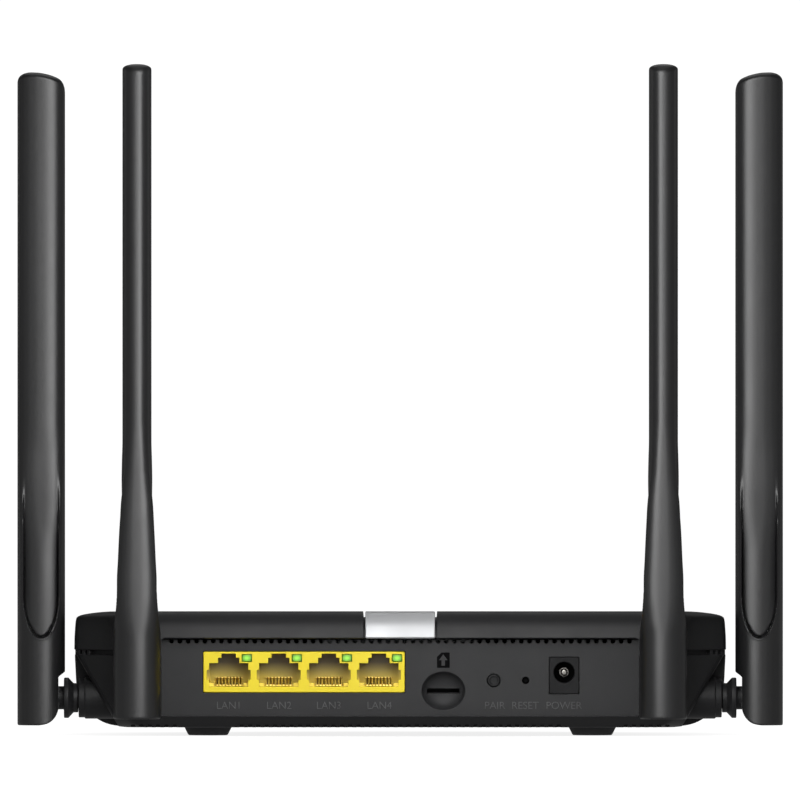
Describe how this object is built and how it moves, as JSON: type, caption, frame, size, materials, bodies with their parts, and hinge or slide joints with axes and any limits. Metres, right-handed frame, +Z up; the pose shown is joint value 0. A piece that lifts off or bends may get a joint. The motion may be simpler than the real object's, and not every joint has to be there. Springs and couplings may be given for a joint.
{
  "type": "wireless router",
  "caption": "Low black router housing with a yellow socket block, SIM slot, buttons and DC inlet at the rear, and folding, swivelling blade antennas at the sides and rear.",
  "frame": {"origin": "on the surface the rubber feet stand on, under the middle of the whole object's bounding box with the antennas upright", "axes": "+Z up, the connector panel faces -Y, the front edge faces +Y, +X to the right when looking at the connector panel"},
  "size_m": [0.2138, 0.1392, 0.1872],
  "materials": {
    "housing_plastic": "fine-textured moulded black",
    "panel_plastic": "satin moulded dark grey-black",
    "antenna_plastic": "satin moulded black",
    "trim_silver": "silver-white satin",
    "port_yellow": "satin moulded yellow",
    "port_black": "moulded black",
    "contact_gold": "gold plated",
    "lens_green": "translucent green",
    "clear_plastic": "frosted clear",
    "button_plastic": "moulded black",
    "plated_metal": "nickel plated",
    "heatsink_aluminium": "plain extruded",
    "circuit_board": "green solder mask",
    "cable_sheath": "extruded sheath",
    "foot_rubber": "matte rubber"
  },
  "bodies": {
    "root": {"bottom_shell": "housing_plastic", "top_cover": "housing_plastic", "rear_panel": "panel_plastic", "top_trim_strip": "trim_silver", "indicator_light_guide": "clear_plastic", "main_circuit_board": "circuit_board", "lan_port_block": "port_yellow", "lan_port_1_contacts": "contact_gold", "lan_port_1_led_lens": "lens_green", "lan_port_2_contacts": "contact_gold", "lan_port_2_led_lens": "lens_green", "lan_port_3_contacts": "contact_gold", "lan_port_3_led_lens": "lens_green", "lan_port_4_contacts": "contact_gold", "lan_port_4_led_lens": "lens_green", "dc_inlet": "port_black", "dc_inlet_pin": "plated_metal", "sim_reader": "plated_metal", "pair_switch": "port_black", "reset_switch": "port_black", "lan_transformer": "port_black", "modem_module": "circuit_board", "wifi_shield_left": "plated_metal", "wifi_shield_right": "plated_metal", "processor_heatsink": "heatsink_aluminium", "power_capacitor_1": "port_black", "power_capacitor_2": "port_black", "housing_screw_1": "plated_metal", "housing_screw_2": "plated_metal", "housing_screw_3": "plated_metal", "housing_screw_4": "plated_metal", "rubber_foot_1": "foot_rubber", "rubber_foot_2": "foot_rubber", "rubber_foot_3": "foot_rubber", "rubber_foot_4": "foot_rubber", "side_left_coax": "cable_sheath", "side_right_coax": "cable_sheath", "rear_left_coax": "cable_sheath", "rear_right_coax": "cable_sheath"},
    "side_left_post": {"side_left_swivel_post": "housing_plastic"},
    "side_left_aerial": {"side_left_antenna": "antenna_plastic", "side_left_hinge_pin": "plated_metal", "side_left_radiator": "circuit_board"},
    "side_right_post": {"side_right_swivel_post": "housing_plastic"},
    "side_right_aerial": {"side_right_antenna": "antenna_plastic", "side_right_hinge_pin": "plated_metal", "side_right_radiator": "circuit_board"},
    "rear_left_post": {"rear_left_swivel_post": "housing_plastic"},
    "rear_left_aerial": {"rear_left_antenna": "antenna_plastic", "rear_left_hinge_pin": "plated_metal", "rear_left_radiator": "circuit_board"},
    "rear_right_post": {"rear_right_swivel_post": "housing_plastic"},
    "rear_right_aerial": {"rear_right_antenna": "antenna_plastic", "rear_right_hinge_pin": "plated_metal", "rear_right_radiator": "circuit_board"},
    "pair_button": {"pair_button": "button_plastic"},
    "reset_plunger": {"reset_plunger": "button_plastic"},
    "sim_slider": {"sim_reader_slider": "port_black"}
  },
  "joints": [
    {"name": "side_left_swivel", "type": "hinge", "parent": "root", "child": "side_left_post", "pos_m": [-0.1021, -0.04045, 0.0105], "axis": [1, 0, 0], "range_deg": [-90, 90]},
    {"name": "side_left_fold", "type": "hinge", "parent": "side_left_post", "child": "side_left_aerial", "pos_m": [-0.1021, -0.04045, 0.0105], "axis": [0, -1, 0], "range_deg": [0, 90]},
    {"name": "side_right_swivel", "type": "hinge", "parent": "root", "child": "side_right_post", "pos_m": [0.1021, -0.04045, 0.0105], "axis": [-1, 0, 0], "range_deg": [-90, 90]},
    {"name": "side_right_fold", "type": "hinge", "parent": "side_right_post", "child": "side_right_aerial", "pos_m": [0.1021, -0.04045, 0.0105], "axis": [0, 1, 0], "range_deg": [0, 90]},
    {"name": "rear_left_swivel", "type": "hinge", "parent": "root", "child": "rear_left_post", "pos_m": [-0.0733, -0.06475, 0.0125], "axis": [0, 1, 0], "range_deg": [-90, 45]},
    {"name": "rear_left_fold", "type": "hinge", "parent": "rear_left_post", "child": "rear_left_aerial", "pos_m": [-0.0733, -0.06475, 0.0125], "axis": [1, 0, 0], "range_deg": [0, 90]},
    {"name": "rear_right_swivel", "type": "hinge", "parent": "root", "child": "rear_right_post", "pos_m": [0.0733, -0.06475, 0.0125], "axis": [0, 1, 0], "range_deg": [-45, 90]},
    {"name": "rear_right_fold", "type": "hinge", "parent": "rear_right_post", "child": "rear_right_aerial", "pos_m": [0.0733, -0.06475, 0.0125], "axis": [1, 0, 0], "range_deg": [0, 90]},
    {"name": "pair_press", "type": "slide", "parent": "root", "child": "pair_button", "axis": [0, 1, 0], "range_m": [0, 0.0006], "stiffness_N_per_m": 400},
    {"name": "reset_press", "type": "slide", "parent": "root", "child": "reset_plunger", "axis": [0, 1, 0], "range_m": [0, 0.0006], "stiffness_N_per_m": 400},
    {"name": "sim_eject_slide", "type": "slide", "parent": "root", "child": "sim_slider", "axis": [0, 1, 0], "range_m": [0, 0.0012], "stiffness_N_per_m": 200}
  ]
}
